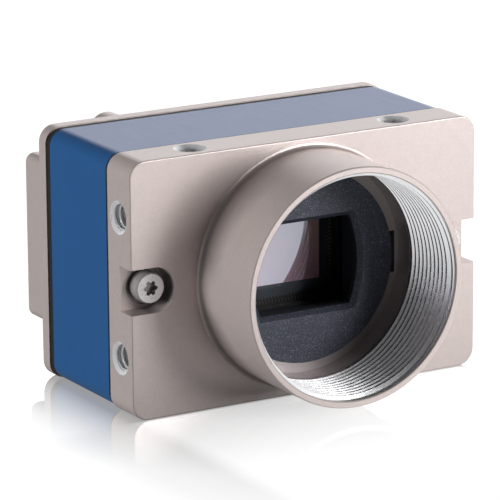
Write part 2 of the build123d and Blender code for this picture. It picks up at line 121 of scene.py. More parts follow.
class ThreadSizes(bpy.types.PropertyGroup):
    """Sizes of the cut threads, the countersinks and the screw pockets"""

    lens_radius: length("Lens thread radius", "Radius of the lens thread at its root", 0.0127)
    lens_pitch: length("Lens thread pitch", "Distance between two turns of the lens thread", 0.00079375)
    lens_depth: length("Lens thread depth", "Height of the lens thread's ridge", 0.00043)
    lens_length: length("Lens thread length", "Depth of the lens thread from the rim", 0.0089)
    bracket_radius: length("Bracket thread radius", "Radius of the bracket threads at their root", 0.0015)
    bracket_pitch: length("Bracket thread pitch", "Distance between two turns in the bracket holes", 0.0005)
    bracket_depth: length("Bracket thread depth", "Height of the bracket threads' ridge", 0.00027)
    bracket_length: length("Bracket thread length", "Length of thread in each bracket hole", 0.0034)
    sink_radius: length("Countersink radius", "Radius inside which the countersinks are bare", 0.00187)
    sink_depth: length("Countersink depth", "Depth of the countersink before each bracket thread", 0.0005)
    seat_radius: length("Screw seat radius", "Radius of the round seat of each clamp screw", 0.00217)
    pocket_radius: length("Screw pocket radius", "Radius of the round end of each screw's pocket", 0.00255)
    lock_radius: length("Lock thread radius", "Radius of the lock holes' threads at their root", 0.001)
    lock_pitch: length("Lock thread pitch", "Distance between two turns in the lock holes", 0.0004)
    lock_depth: length("Lock thread depth", "Height of the lock holes' thread ridge", 0.00021)
    jack_lock_length: length("Jack lock length", "Length of thread in each of the jack's lock holes", 0.0044)
    port_lock_length: length("Port lock length", "Length of thread in each of the port's lock holes", 0.001)


class HousingFinish(bpy.types.PropertyGroup):
    """Finish of the two painted end pieces"""

    paint: colour("Paint", "Colour of the satin metallic paint", (0.53, 0.46, 0.443))
    bare_metal: colour("Bare metal", "Colour where the metal is cut after painting", (0.80, 0.80, 0.82))
    # The bore wall's tone is a painted shade, darker than the paint
    painted_shade_tone: colour("Bore wall", "Colour behind the lens thread and round the screws", (0.34, 0.30, 0.30))
    grain: length("Grain", "Height of the blasted grain under the paint", 0.000012)


class SleeveFinish(bpy.types.PropertyGroup):
    """Finish of the centre sleeve"""

    anodised: colour("Anodised colour", "Colour of the satin anodised aluminium", (0.018, 0.084, 0.228))


class SensorSizes(bpy.types.PropertyGroup):
    """The image area, the glass coat before it and the bond wires"""

    image_width: length("Image width", "Width of the light-sensitive area", 0.0113)
    image_height: length("Image height", "Height of the light-sensitive area", 0.0071)
    coat_rise: length("Coat rise", "Height of the glass coat's middle above the image area's", 0.0004)
    side_wires: count("Side wires", "Bond wires on each short side", 22)
    long_wires: count("Long wires", "Bond wires on each long side", 30)
    wire_reach: length("Wire reach", "Distance that a bond wire spans", 0.00078)
    wire_radius: length("Wire radius", "Radius of a bond wire", 0.000018)


class StageSettings(bpy.types.PropertyGroup):
    """Floor, lamps and room"""

    floor_size: length("Floor size", "Side of the floor", 6.0)
    key_power: watts("Key lamp", "Power of the lamp before the camera on the right", 1.3)
    back_power: watts("Back lamp", "Power of the lamp behind on the right", 0.4)
    side_power: watts("Side lamp", "Power of the lamp on the left", 3.3)
    room_light: number("Room light", "Strength of the soft light all round", 0.04)
    dim_side: number("Dim side", "Brightness of the room's dark parts in reflections", 0.14)
    side_fade: number("Side fade", "How fast the floor's polish fades beside the camera", 84.0)
    side_polish: number("Side polish", "Share of the floor's mirror beside the camera", 0.76)
    front_fade: number("Front fade", "How fast the floor's polish fades before the camera", 43.0)
    front_polish: number("Front polish", "Share of the floor's mirror before the camera", 0.46)


class Shader:
    """Node tree of one finish, with short calls for the nodes that the finishes share"""

    def __init__(self, name):
        self.material = bpy.data.materials.new(name)
        self.material.use_nodes = True
        self.tree = self.material.node_tree
        self.tree.nodes.clear()
        self.output = self.add("ShaderNodeOutputMaterial")
        self.surface = self.add("ShaderNodeBsdfPrincipled")
        self.tree.links.new(self.surface.outputs[0], self.output.inputs["Surface"])
        self.place = self.add("ShaderNodeTexCoord").outputs["Object"]

    def add(self, kind, **values):
        node = self.tree.nodes.new(kind)
        for key, value in values.items():
            setattr(node, key, value)
        return node

    def feed(self, socket, value):
        if isinstance(value, bpy.types.NodeSocket):
            self.tree.links.new(value, socket)
        elif hasattr(value, "__len__") and len(value) == 3 and socket.type == "RGBA":
            socket.default_value = (*value, 1.0)
        else:
            socket.default_value = value

    def set(self, **sockets):
        for name, value in sockets.items():
            self.feed(self.surface.inputs[name.replace("_", " ")], value)

    def math(self, operation, first, second=None, clamp=False):
        node = self.add("ShaderNodeMath", operation=operation, use_clamp=clamp)
        self.feed(node.inputs[0], first)
        if second is not None:
            self.feed(node.inputs[1], second)
        return node.outputs[0]

    def split(self, vector):
        node = self.add("ShaderNodeSeparateXYZ")
        self.feed(node.inputs[0], vector)
        return node.outputs

    def mix(self, factor, first, second):
        node = self.add("ShaderNodeMix", data_type="RGBA")
        self.feed(node.inputs["Factor"], factor)
        self.feed(node.inputs[6], first)
        self.feed(node.inputs[7], second)
        return node.outputs[2]

    def blend(self, factor, first, second):
        node = self.add("ShaderNodeMix", data_type="FLOAT")
        self.feed(node.inputs["Factor"], factor)
        self.feed(node.inputs[2], first)
        self.feed(node.inputs[3], second)
        return node.outputs[0]

    def stretch(self, scale):
        node = self.add("ShaderNodeMapping")
        self.feed(node.inputs["Vector"], self.place)
        node.inputs["Scale"].default_value = scale
        return node.outputs[0]

    def noise(self, scale, detail=2.0, place=None):
        node = self.add("ShaderNodeTexNoise")
        self.feed(node.inputs["Vector"], place or self.place)
        node.inputs["Scale"].default_value = scale
        node.inputs["Detail"].default_value = detail
        return node.outputs[0]

    def cells(self, scale):
        node = self.add("ShaderNodeTexVoronoi")
        self.feed(node.inputs["Vector"], self.place)
        node.inputs["Scale"].default_value = scale
        return node.outputs[0]

    def step(self, value, low, high):
        """0 below low, 1 above high, and smooth between; low may be the larger one"""
        node = self.add("ShaderNodeMapRange", interpolation_type="SMOOTHSTEP")
        self.feed(node.inputs["Value"], value)
        node.inputs["From Min"].default_value = min(low, high)
        node.inputs["From Max"].default_value = max(low, high)
        node.inputs["To Min"].default_value = 0.0 if low < high else 1.0
        node.inputs["To Max"].default_value = 1.0 if low < high else 0.0
        return node.outputs[0]

    def bump(self, height, distance):
        node = self.add("ShaderNodeBump")
        self.feed(node.inputs["Height"], height)
        node.inputs["Distance"].default_value = distance
        return node.outputs[0]

    def less(self, value, amount):
        return self.math("SUBTRACT", value, amount)

    def fold(self, operation, values):
        total = values[0]
        for value in values[1:]:
            total = self.math(operation, total, value)
        return total

    def times(self, *values):
        """Product of the values, so of masks the part they share"""
        return self.fold("MULTIPLY", values)

    def most(self, *values):
        """Largest of the values, so of masks all they cover"""
        return self.fold("MAXIMUM", values)

    def around(self, first, second):
        """Distance from an axis, from the two coordinates across it"""
        return self.math("SQRT", self.math("ADD", self.times(first, first), self.times(second, second)))

    def glow(self, strength):
        node = self.add("ShaderNodeEmission")
        self.feed(node.inputs["Strength"], strength)
        return node.outputs[0]

    def matt(self, grey):
        node = self.add("ShaderNodeBsdfDiffuse")
        node.inputs["Color"].default_value = (grey, grey, grey, 1.0)
        return node.outputs[0]

    def mirror(self, tone, roughness):
        node = self.add("ShaderNodeBsdfGlossy")
        self.feed(node.inputs["Color"], tone)
        node.inputs["Roughness"].default_value = roughness
        return node.outputs[0]

    def both(self, first, second):
        """Sum of two shaders"""
        node = self.add("ShaderNodeAddShader")
        self.feed(node.inputs[0], first)
        self.feed(node.inputs[1], second)
        return node.outputs[0]

    def either(self, share, first, second):
        """Mix of two shaders, with the share of the second one"""
        node = self.add("ShaderNodeMixShader")
        for socket, value in zip(node.inputs, (share, first, second)):
            self.feed(socket, value)
        return node.outputs[0]

    def show(self, shader):
        """Put a shader in the place of the principled surface"""
        self.tree.nodes.remove(self.surface)
        self.feed(self.output.inputs["Surface"], shader)


class Growth:
    """Geometry tree with named inputs that is run once and turned into a plain mesh"""

    def __init__(self, name):
        self.tree = bpy.data.node_groups.new(name, "GeometryNodeTree")
        self.tree.interface.new_socket("Geometry", in_out="INPUT", socket_type="NodeSocketGeometry")
        self.tree.interface.new_socket("Geometry", in_out="OUTPUT", socket_type="NodeSocketGeometry")
        self.source = self.tree.nodes.new("NodeGroupInput")
        self.result = self.tree.nodes.new("NodeGroupOutput")

    def size(self, name, kind="NodeSocketFloat"):
        self.tree.interface.new_socket(name, in_out="INPUT", socket_type=kind)
        return self.source.outputs[name]

    def add(self, kind, links=None, **values):
        node = self.tree.nodes.new(kind)
        for key, value in values.items():
            setattr(node, key, value)
        for key, value in (links or {}).items():
            socket = node.inputs[key]
            if isinstance(value, bpy.types.NodeSocket):
                self.tree.links.new(value, socket)
            else:
                socket.default_value = value
        return node

    def math(self, operation, first, second=0.0, clamp=False):
        node = self.add("ShaderNodeMath", {0: first, 1: second}, operation=operation, use_clamp=clamp)
        return node.outputs[0]

    def vector(self, x=0.0, y=0.0, z=0.0):
        return self.add("ShaderNodeCombineXYZ", {0: x, 1: y, 2: z}).outputs[0]

    def join(self, *parts):
        node = self.add("GeometryNodeJoinGeometry")
        for part in parts:
            self.tree.links.new(part, node.inputs[0])
        return node.outputs[0]

    def aim(self):
        """Direction that each seed point gives"""
        node = self.add("GeometryNodeInputNamedAttribute", {"Name": "aim"}, data_type="FLOAT_VECTOR")
        return node.outputs[0]

    def close(self, form, turn):
        """Put a turned copy of the form on each seed point, as real mesh with the material given by name"""
        copies = self.add("GeometryNodeInstanceOnPoints", {
            "Points": self.source.outputs["Geometry"], "Instance": form, "Rotation": turn,
        })
        real = self.add("GeometryNodeRealizeInstances", {0: copies.outputs[0]})
        finish = self.size("Finish", "NodeSocketMaterial")
        made = self.add("GeometryNodeSetMaterial", {0: real.outputs[0], "Material": finish})
        self.tree.links.new(made.outputs[0], self.result.inputs[0])

    def grow(self, name, seed_mesh, **values):
        """Run the tree on a seed mesh and return a plain mesh object of that name"""
        seed = bpy.data.objects.new(name + "_seed", seed_mesh)
        bpy.context.scene.collection.objects.link(seed)
        modifier = seed.modifiers.new("growth", "NODES")
        modifier.node_group = self.tree
        for socket in self.tree.interface.items_tree:
            key = socket.name.lower().replace(" ", "_")
            if socket.in_out == "INPUT" and key in values:
                modifier[socket.identifier] = values.pop(key)
        if values:
            raise ValueError("no input named " + ", ".join(values))
        seen = seed.evaluated_get(bpy.context.evaluated_depsgraph_get())
        mesh = bpy.data.meshes.new_from_object(seen)
        bpy.data.objects.remove(seed)
        mesh.name = name
        piece = bpy.data.objects.new(name, mesh)
        bpy.context.scene.collection.objects.link(piece)
        return piece


def seed_points(name, places):
    """Mesh of loose points; each has the direction that its copy looks along"""
    mesh = bpy.data.meshes.new(name)
    mesh.from_pydata([place for place, aim in places], [], [])
    aims = mesh.attributes.new("aim", "FLOAT_VECTOR", "POINT")
    for point, (place, aim) in zip(aims.data, places):
        point.vector = aim
    return mesh


def shade(piece, angle=math.radians(40)):
    """Smooth a piece's faces where they meet at less than the angle"""
    mesh = piece.data
    mesh.polygons.foreach_set("use_smooth", [True] * len(mesh.polygons))
    mesh.set_sharp_from_angle(angle=angle)
    mesh.validate()
    return piece


def attach(piece):
    """Tie a finished piece to the camera's one body"""
    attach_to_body(piece, "root")


def cover(material, *names):
    """Give a finish to the frame's own solids"""
    for name in names:
        slots = NODES[name].data.materials
        slots.clear()
        slots.append(material)


def shades(tone, spread):
    """A darker and a lighter tone on both sides of a colour"""
    return tuple(c * (1.0 - spread) for c in tone), tuple(min(1.0, c * (1.0 + spread)) for c in tone)


def image_mask(s, x, rise, size, soft):
    """1 on a rectangle of the image area's size round the coordinates' zero, and 0 outside it"""
    wide, tall = size.image_width / 2, size.image_height / 2
    return s.times(
        s.step(s.math("ABSOLUTE", x), wide + soft, wide - soft),
        s.step(s.math("ABSOLUTE", rise), tall + soft, tall - soft),
    )


def thread_tree():
    """Helical ridge of a cut thread along each seed point's direction, both ends run out into the wall"""
    g = Growth("thread_ridge")
    radius, pitch, depth = g.size("Radius"), g.size("Pitch"), g.size("Depth")
    turns, steps = g.size("Turns"), g.size("Steps", "NodeSocketInt")
    spiral = g.add("GeometryNodeCurveSpiral", {
        "Resolution": steps, "Rotations": turns, "Start Radius": radius, "End Radius": radius,
        "Height": g.math("MULTIPLY", turns, pitch),
    })
    along = g.add("GeometryNodeSplineParameter").outputs["Factor"]
    ends = g.math("MINIMUM", along, g.math("SUBTRACT", 1.0, along))
    run = g.math("SUBTRACT", 1.0, g.math("MULTIPLY", g.math("MULTIPLY", ends, turns), 2.0, clamp=True))
    place = g.add("GeometryNodeInputPosition").outputs[0]
    flat = g.add("ShaderNodeVectorMath", {0: place, 1: (1.0, 1.0, 0.0)}, operation="MULTIPLY").outputs[0]
    out = g.add("ShaderNodeVectorMath", {0: flat}, operation="NORMALIZE").outputs[0]
    sink = g.math("MULTIPLY", run, depth)
    away = g.add("ShaderNodeVectorMath", {0: out, "Scale": sink}, operation="SCALE").outputs[0]
    sunk = g.add("GeometryNodeSetPosition", {"Geometry": spiral.outputs[0], "Offset": away})
    upright = g.add("GeometryNodeSetCurveNormal", {0: sunk.outputs[0]}, mode="Z_UP")
    crest_share, root_share = 0.30, 0.95
    form = g.add("GeometryNodeCurvePrimitiveQuadrilateral", {
        "Height": depth,
        "Bottom Width": g.math("MULTIPLY", pitch, crest_share),
        "Top Width": g.math("MULTIPLY", pitch, root_share),
        "Offset": 0.0,
    }, mode="TRAPEZOID")
    laid = g.add("GeometryNodeTransform", {0: form.outputs[0], "Rotation": (0.0, 0.0, math.pi / 2)})
    ridge = g.add("GeometryNodeCurveToMesh", {
        "Curve": upright.outputs[0], "Profile Curve": laid.outputs[0], "Fill Caps": True,
    })
    turn = g.add("FunctionNodeAlignRotationToVector", {"Vector": g.aim()}, axis="Z")
    g.close(ridge.outputs[0], turn.outputs[0])
    return g


def wire_tree():
    """Bond wire with a pad under its far end, copied to each seed point and looking along its direction"""
    g = Growth("bond_wires")
    reach, drop, radius = g.size("Reach"), g.size("Drop"), g.size("Radius")
    far_end = g.vector(reach, 0.0, g.math("MULTIPLY", drop, -1.0))
    arc = g.add("GeometryNodeCurveQuadraticBezier", {
        "Resolution": 9,
        "Start": g.vector(),
        "Middle": g.vector(g.math("MULTIPLY", reach, 0.3), 0.0, g.math("MULTIPLY", reach, 0.75)),
        "End": far_end,
    })
    ring = g.add("GeometryNodeCurvePrimitiveCircle", {"Resolution": 6, "Radius": radius})
    wire = g.add("GeometryNodeCurveToMesh", {
        "Curve": arc.outputs[0], "Profile Curve": ring.outputs[0], "Fill Caps": True,
    })
    wide, thick = g.math("MULTIPLY", radius, 7.0), g.math("MULTIPLY", radius, 1.2)
    pad = g.add("GeometryNodeMeshCube", {"Size": g.vector(g.math("MULTIPLY", reach, 0.45), wide, thick)})
    laid = g.add("GeometryNodeTransform", {0: pad.outputs[0], "Translation": far_end})
    across = g.add("FunctionNodeAlignRotationToVector", {"Vector": (0.0, -1.0, 0.0)}, axis="Z")
    turn = g.add("FunctionNodeAlignRotationToVector", {
        "Rotation": across.outputs[0], "Vector": g.aim(),
    }, axis="X", pivot_axis="Z")
    g.close(g.join(wire.outputs[0], laid.outputs[0]), turn.outputs[0])
    return g


def bare_metal_finish(name, metallic):
    """Cut aluminium with fine turning lines"""
    s = Shader(name)
    lines = s.noise(9000.0, 1.0, s.stretch((0.15, 1.0, 0.15)))
    s.set(
        Base_Color=s.mix(s.noise(700.0), (0.74, 0.74, 0.76), (0.86, 0.86, 0.87)),
        Metallic=metallic,
        Roughness=s.blend(lines, 0.18, 0.32),
        Normal=s.bump(lines, 0.0000015),
    )
    return s.material


class CAMERA_OT_housing(bpy.types.Operator):
    """Paint the two end pieces, bare their cut metal, and paint shade on the bore's wall and screw pockets"""

    bl_idname = "machine_camera.housing"
    bl_label = "Painted end pieces"

    def execute(self, context):
        look = context.scene.housing_finish
        threads = context.scene.thread_sizes
        s = Shader("satin_paint")
        x, y, z = s.split(s.place)
        height = s.less(z, AXIS_HEIGHT)
        side, rise = s.math("ABSOLUTE", x), s.math("ABSOLUTE", height)
        edge = 0.00003

        def below(value, limit):
            return s.step(value, limit + edge / 2, limit - edge / 2)

        # The screw holes open on the outer part of the front plate, beyond these distances from the lens axis
        outer_rise, outer_side = s.step(rise, 0.009, 0.0092), s.step(side, 0.017, 0.0172)
        front = s.step(y, SEAT_Y, SEAT_Y - edge)
        hole_y = s.less(y, HOLE_Y)
        top_hole = s.times(below(s.around(s.less(side, TOP_HOLE_X), hole_y), threads.sink_radius), outer_rise)
        side_hole = s.times(
            below(s.around(hole_y, s.less(rise, SIDE_HOLE_RISE)), threads.sink_radius), outer_side
        )

        # The lens thread is bare from behind the painted rim to its shoulder. The wall after it gets the
        # painted shade tone
        bore = below(s.around(x, height), threads.lens_radius + 2 * edge)
        thread_end = RIM_Y + threads.lens_length
        rim_paint = (RIM_Y + 0.00012, RIM_Y + 0.00018)
        shoulder = (thread_end - 0.00008, thread_end - edge)
        cut = s.times(bore, s.step(y, *reversed(shoulder)), s.step(y, *rim_paint))
        wall = s.times(bore, s.step(y, *shoulder))

        jack_lock = s.around(s.less(x, JACK_X), s.less(rise, JACK_LOCK_RISE))
        port_lock = s.around(s.less(x, PORT_X), s.less(rise, PORT_LOCK_RISE))
        lock_hole = below(s.math("MINIMUM", jack_lock, port_lock), threads.lock_radius + edge)
        lock = s.times(lock_hole, s.step(y, LOCK_BARE_Y, LOCK_BARE_Y + 0.0001))
        bare = s.most(s.times(s.most(top_hole, side_hole, cut), front), lock)

        # Painted shade in the screw pockets: the pocket's dark tone fades towards its open side, and the
        # seat's starts deeper
        screw = s.around(s.less(side, SCREW_X), height)
        seat_depth = (FACE_Y + 0.00257, FACE_Y + 0.00262)
        pocket_depth = (FACE_Y + 0.0001, FACE_Y + 0.0008)
        pocket_open = (SCREW_X + 0.0022, SCREW_X + 0.0012)
        pocket_shade = 0.8
        seat = s.times(below(screw, threads.seat_radius), s.step(y, *seat_depth))
        pocket = s.times(
            below(screw, threads.pocket_radius + 0.00005), s.step(y, *pocket_depth),
            s.step(side, *pocket_open), pocket_shade,
        )
        # Painted shade mask: the bore's wall, the screw seats and the pockets take the darker tone
        dark = s.times(s.most(wall, seat, pocket), front)

        grain = s.noise(5200.0, 3.0)
        lines = s.noise(7000.0, 1.0, s.stretch((0.1, 1.0, 0.1)))
        mottle = s.blend(0.6, s.noise(900.0, 3.0), s.noise(4200.0, 2.0))
        paint = s.mix(mottle, *shades(look.paint, 0.13))
        s.set(
            Base_Color=s.mix(dark, s.mix(bare, paint, tuple(look.bare_metal)), tuple(look.painted_shade_tone)),
            Metallic=s.blend(s.most(top_hole, side_hole), s.blend(bare, 0.5, 1.0), 0.4),
            Roughness=s.blend(bare, s.blend(grain, 0.33, 0.42), s.blend(lines, 0.22, 0.38)),
            Normal=s.bump(s.blend(bare, grain, lines), look.grain),
        )
        cover(s.material, "front_housing", "rear_cover")
        return {"FINISHED"}


class CAMERA_OT_sleeve(bpy.types.Operator):
    """Give the centre sleeve its satin anodised finish and the gaskets their rubber"""

    bl_idname = "machine_camera.sleeve"
    bl_label = "Anodised sleeve and gaskets"

    def execute(self, context):
        s = Shader("anodised_aluminium")
        drawn = s.noise(2600.0, 3.0, s.stretch((1.0, 0.05, 1.0)))
        etched = s.noise(8000.0, 2.0)
        s.set(
            Base_Color=s.mix(s.noise(500.0, 3.0), *shades(context.scene.sleeve_finish.anodised, 0.07)),
            Metallic=0.25,
            Specular_IOR_Level=0.28,
            Specular_Tint=(0.87, 0.85, 1.0),
            Roughness=s.blend(drawn, 0.28, 0.36),
            Normal=s.bump(s.math("ADD", s.times(drawn, 0.6), etched), 0.000004),
        )
        cover(s.material, "centre_sleeve")
        g = Shader("gasket_rubber")
        fine = g.noise(6000.0, 3.0)
        g.set(
            Base_Color=g.mix(fine, (0.010, 0.010, 0.011), (0.024, 0.023, 0.024)),
            Roughness=g.blend(fine, 0.55, 0.75),
            Normal=g.bump(fine, 0.00001),
        )
        cover(g.material, "front_gasket", "rear_gasket")
        return {"FINISHED"}


class CAMERA_OT_threads(bpy.types.Operator):
    """Cut the lens thread, the bracket holes' threads and the lock holes' threads"""

    bl_idname = "machine_camera.threads"
    bl_label = "Cut threads"

    def execute(self, context):
        t = context.scene.thread_sizes
        turned, tapped = bare_metal_finish("turned_metal", 1.0), bare_metal_finish("tapped_metal", 0.6)
        tree = thread_tree()

        def ridges(name, places, radius, pitch, depth, run, steps, metal=tapped):
            return tree.grow(
                name, seed_points(name + "_seats", places), radius=radius - depth * (0.5 - RIDGE_FOOT),
                pitch=pitch, depth=depth, turns=run / pitch, steps=steps, finish=metal,
            )

        # The inner end runs half a turn into the shoulder behind the thread
        start = RIM_Y + t.lens_pitch / 2 + t.lens_length
        lens = ridges(
            "lens_thread", [((0.0, start, AXIS_HEIGHT), (0.0, -1.0, 0.0))],
            t.lens_radius, t.lens_pitch, t.lens_depth, t.lens_length, 160, turned,
        )

        deep = t.sink_depth + t.bracket_length
        places = []
        for way in (-1.0, 1.0):
            for part in (-1.0, 1.0):
                inner_z = AXIS_HEIGHT + way * (AXIS_HEIGHT - CAD_LOW.z - deep)
                places.append(((part * TOP_HOLE_X, HOLE_Y, inner_z), (0.0, 0.0, way)))
                inner_x = way * (CAD_HIGH.x - deep)
                places.append(((inner_x, HOLE_Y, AXIS_HEIGHT + part * SIDE_HOLE_RISE), (way, 0.0, 0.0)))
        bracket = ridges(
            "bracket_threads", places,
            t.bracket_radius, t.bracket_pitch, t.bracket_depth, t.bracket_length, 40,
        )

        def locks(name, x, y, rise, run):
            places = [((x, y, AXIS_HEIGHT + way * rise), (0.0, 1.0, 0.0)) for way in (-1.0, 1.0)]
            return ridges(name, places, t.lock_radius, t.lock_pitch, t.lock_depth, run, 32)

        lock = locks("lock_threads", JACK_X, JACK_LOCK_Y, JACK_LOCK_RISE, t.jack_lock_length)
        port = locks("port_lock_threads", PORT_X, PORT_LOCK_Y, PORT_LOCK_RISE, t.port_lock_length)
        for piece in (lens, bracket, lock, port):
            attach(shade(piece, math.radians(28)))
        return {"FINISHED"}


class CAMERA_OT_screws(bpy.types.Operator):
    """Give the clamp screws, board screws and spacers their steel"""

    bl_idname = "machine_camera.screws"
    bl_label = "Screws and spacers"

    def execute(self, context):
        s = Shader("stainless_steel")
        x, y, z = s.split(s.place)
        ring = s.around(s.less(s.math("ABSOLUTE", x), SCREW_X), s.less(z, AXIS_HEIGHT))
        turning_rate = 90000.0
        turned = s.math("SINE", s.times(ring, turning_rate))
        wear = s.noise(2500.0, 3.0)

        # Painted shade: dim inside the drive, and dark where the screw is sunk in its seat
        drive_depth = (SCREW_LOW.y + 0.00006, SCREW_LOW.y + 0.0005)
        drive_radius = (0.0013, 0.0012)
        drive_shade = 0.6
        sunk_depth = (SCREW_LOW.y + 0.0011, SCREW_LOW.y + 0.0019)
        drive = s.times(s.step(y, *drive_depth), s.step(ring, *drive_radius), drive_shade)
        dim = s.most(drive, s.step(y, *sunk_depth))
        s.set(
            Base_Color=s.mix(dim, s.mix(wear, (0.60, 0.59, 0.58), (0.74, 0.73, 0.72)), (0.14, 0.135, 0.13)),
            Metallic=0.75,
            Roughness=s.blend(wear, 0.22, 0.36),
            Normal=s.bump(s.math("ADD", s.times(turned, 0.4), wear), 0.000002),
        )
        cover(s.material, "clamp_screw_left", "clamp_screw_right", "board_screws", "board_spacers")
        return {"FINISHED"}


class CAMERA_OT_baffle(bpy.types.Operator):
    """Give the baffle its grained black moulding"""

    bl_idname = "machine_camera.baffle"
    bl_label = "Grained baffle"

    def execute(self, context):
        s = Shader("grained_moulding")
        grain = s.cells(5200.0)
        fine = s.noise(9000.0, 3.0)
        speck = s.step(s.noise(6600.0, 2.0), 0.57, 0.69)
        # Painted shade: past this depth the window's walls are near black and matt
        window_shade_depth = (BAFFLE_Y + 0.0005, BAFFLE_Y + 0.0006)
        inside = s.step(s.split(s.place)[1], *window_shade_depth)
        base = s.mix(s.noise(400.0), (0.016, 0.018, 0.030), (0.026, 0.029, 0.046))
        face = s.mix(speck, base, (0.11, 0.115, 0.15))
        s.set(
            Base_Color=s.mix(inside, face, (0.004, 0.005, 0.008)),
            Roughness=s.blend(inside, s.blend(fine, 0.38, 0.62), 0.95),
            Specular_Tint=(0.90, 0.93, 1.0),
            Normal=s.bump(s.math("ADD", grain, s.times(fine, 0.5)), 0.00003),
        )
        cover(s.material, "baffle")
        return {"FINISHED"}


class CAMERA_OT_sensor(bpy.types.Operator):
    """Finish the image sensor and add its bond wires"""

    bl_idname = "machine_camera.sensor"
    bl_label = "Image sensor"

    def execute(self, context):
        size = context.scene.sensor_sizes
        s = Shader("silicon")
        x, y, z = s.split(s.place)
        height = s.less(z, AXIS_HEIGHT)
        image = image_mask(s, x, height, size, 0.00002)
        rise = s.step(height, -size.image_height / 2, size.image_height / 2)
        face = s.mix(rise, (0.74, 0.40, 0.50), (0.84, 0.52, 0.40))
        bands = s.noise(900.0, 1.0, s.stretch((1.0, 1.0, 0.05)))
        cloud = s.step(s.noise(1800.0, 3.0), 0.45, 0.6)
        border = s.mix(cloud, (0.004, 0.004, 0.006), (0.010, 0.009, 0.012))
        s.set(
            Base_Color=s.mix(image, border, s.mix(bands, face, (0.79, 0.46, 0.45))),
            IOR=1.65,
            Roughness=s.blend(image, 0.5, 0.012),
            Specular_Tint=(0.80, 0.88, 1.0),
        )
        cover(s.material, "sensor_die")
        p = Shader("fired_ceramic")
        fine = p.noise(5000.0, 4.0)
        p.set(
            Base_Color=p.mix(fine, (0.006, 0.006, 0.008), (0.014, 0.013, 0.015)),
            Roughness=p.blend(fine, 0.45, 0.6),
            Normal=p.bump(fine, 0.000008),
        )
        cover(p.material, "sensor_package")
        gold = Shader("bond_gold")
        dull = gold.noise(4000.0)
        gold.set(
            Base_Color=gold.mix(dull, (0.13, 0.115, 0.09), (0.24, 0.21, 0.165)),
            Metallic=1.0,
            Roughness=0.3,
        )

        # Each wire starts a little inside the die's edge, and no wire stands at a corner
        front = DIE_LOW.y - size.wire_radius / 2
        die = DIE_HIGH - DIE_LOW
        inset, side_margin, long_margin = 0.00015, 0.0010, 0.0012
        places = []
        for way in (-1.0, 1.0):
            for n in range(size.side_wires):
                across = (n / (size.side_wires - 1) - 0.5) * (die.z - side_margin)
                places.append(((way * (DIE_HIGH.x - inset), front, AXIS_HEIGHT + across), (way, 0.0, 0.0)))
            for n in range(size.long_wires):
                across = (n / (size.long_wires - 1) - 0.5) * (die.x - long_margin)
                places.append(((across, front, AXIS_HEIGHT + way * (die.z / 2 - inset)), (0.0, 0.0, way)))
        wires = wire_tree().grow(
            "bond_wires", seed_points("bond_seats", places), reach=size.wire_reach, drop=die.y,
            radius=size.wire_radius, finish=gold.material,
        )
        attach(shade(wires))
        return {"FINISHED"}


class CAMERA_OT_glass(bpy.types.Operator):
    """Give the cover glass a slightly blue reflection, strong on the coated part before the image area"""

    bl_idname = "machine_camera.glass"
    bl_label = "Cover glass"

    def execute(self, context):
        size = context.scene.sensor_sizes
        s = Shader("coated_glass")
        smear = s.noise(300.0, 2.0)
        x, y, z = s.split(s.place)
        front_face = (GLASS_Y + 0.0001, GLASS_Y + 0.00005)
        area = image_mask(s, x, s.less(z, AXIS_HEIGHT + size.coat_rise), size, 0.00003)
        coat = s.times(area, s.step(y, *front_face))
        clear = s.add("ShaderNodeBsdfTransparent")
        clear.inputs[0].default_value = (0.975, 0.98, 0.985, 1.0)
        mirror = s.mirror(s.mix(smear, (0.76, 0.84, 1.0), (0.80, 0.87, 1.0)), 0.015)
        bare_share = s.add("ShaderNodeFresnel")
        bare_share.inputs["IOR"].default_value = 1.35
        coat_share = 0.39
        s.show(s.either(s.blend(coat, bare_share.outputs[0], coat_share), clear.outputs[0], mirror))
        cover(s.material, "sensor_glass")
        return {"FINISHED"}


class CAMERA_OT_boards(bpy.types.Operator):
    """Finish the circuit boards, their parts and the board connectors"""

    bl_idname = "machine_camera.boards"
    bl_label = "Circuit boards"

    def execute(self, context):
        s = Shader("solder_mask")
        tracks = s.step(s.noise(900.0, 1.0, s.stretch((1.0, 0.1, 0.25))), 0.5, 0.52)
        weave = s.noise(5000.0, 2.0)
        s.set(
            Base_Color=s.mix(tracks, (0.008, 0.065, 0.026), (0.014, 0.11, 0.045)),
            Roughness=s.blend(weave, 0.3, 0.42),
            Normal=s.bump(s.math("ADD", tracks, s.times(weave, 0.2)), 0.00002),
            Coat_Weight=0.3,
        )
        cover(s.material, "sensor_board", "processor_board", "interface_board")
        for name, low, high, scale, roughness, nodes in (
            ("moulded_chip", (0.011, 0.011, 0.012), (0.022, 0.022, 0.023), 6000.0, 0.55,
             ("processor_chip", "memory_chips", "ethernet_chip", "ethernet_transformer")),
            ("ferrite", (0.05, 0.05, 0.055), (0.09, 0.09, 0.095), 4000.0, 0.5, ("power_coils",)),
            ("cream_moulding", (0.42, 0.37, 0.28), (0.50, 0.45, 0.35), 3000.0, 0.45,
             ("board_sockets", "board_plugs")),
            ("tan_ceramic", (0.26, 0.15, 0.07), (0.34, 0.21, 0.11), 3000.0, 0.4, ("capacitors",)),
            ("lamp_case", (0.62, 0.62, 0.5), (0.72, 0.72, 0.6), 2000.0, 0.35, ("status_led",)),
        ):
            m = Shader(name)
            fine = m.noise(scale, 3.0)
            m.set(
                Base_Color=m.mix(fine, low, high),
                Roughness=m.blend(fine, roughness - 0.06, roughness + 0.08),
                Normal=m.bump(fine, 0.000008),
            )
            cover(m.material, *nodes)
        return {"FINISHED"}


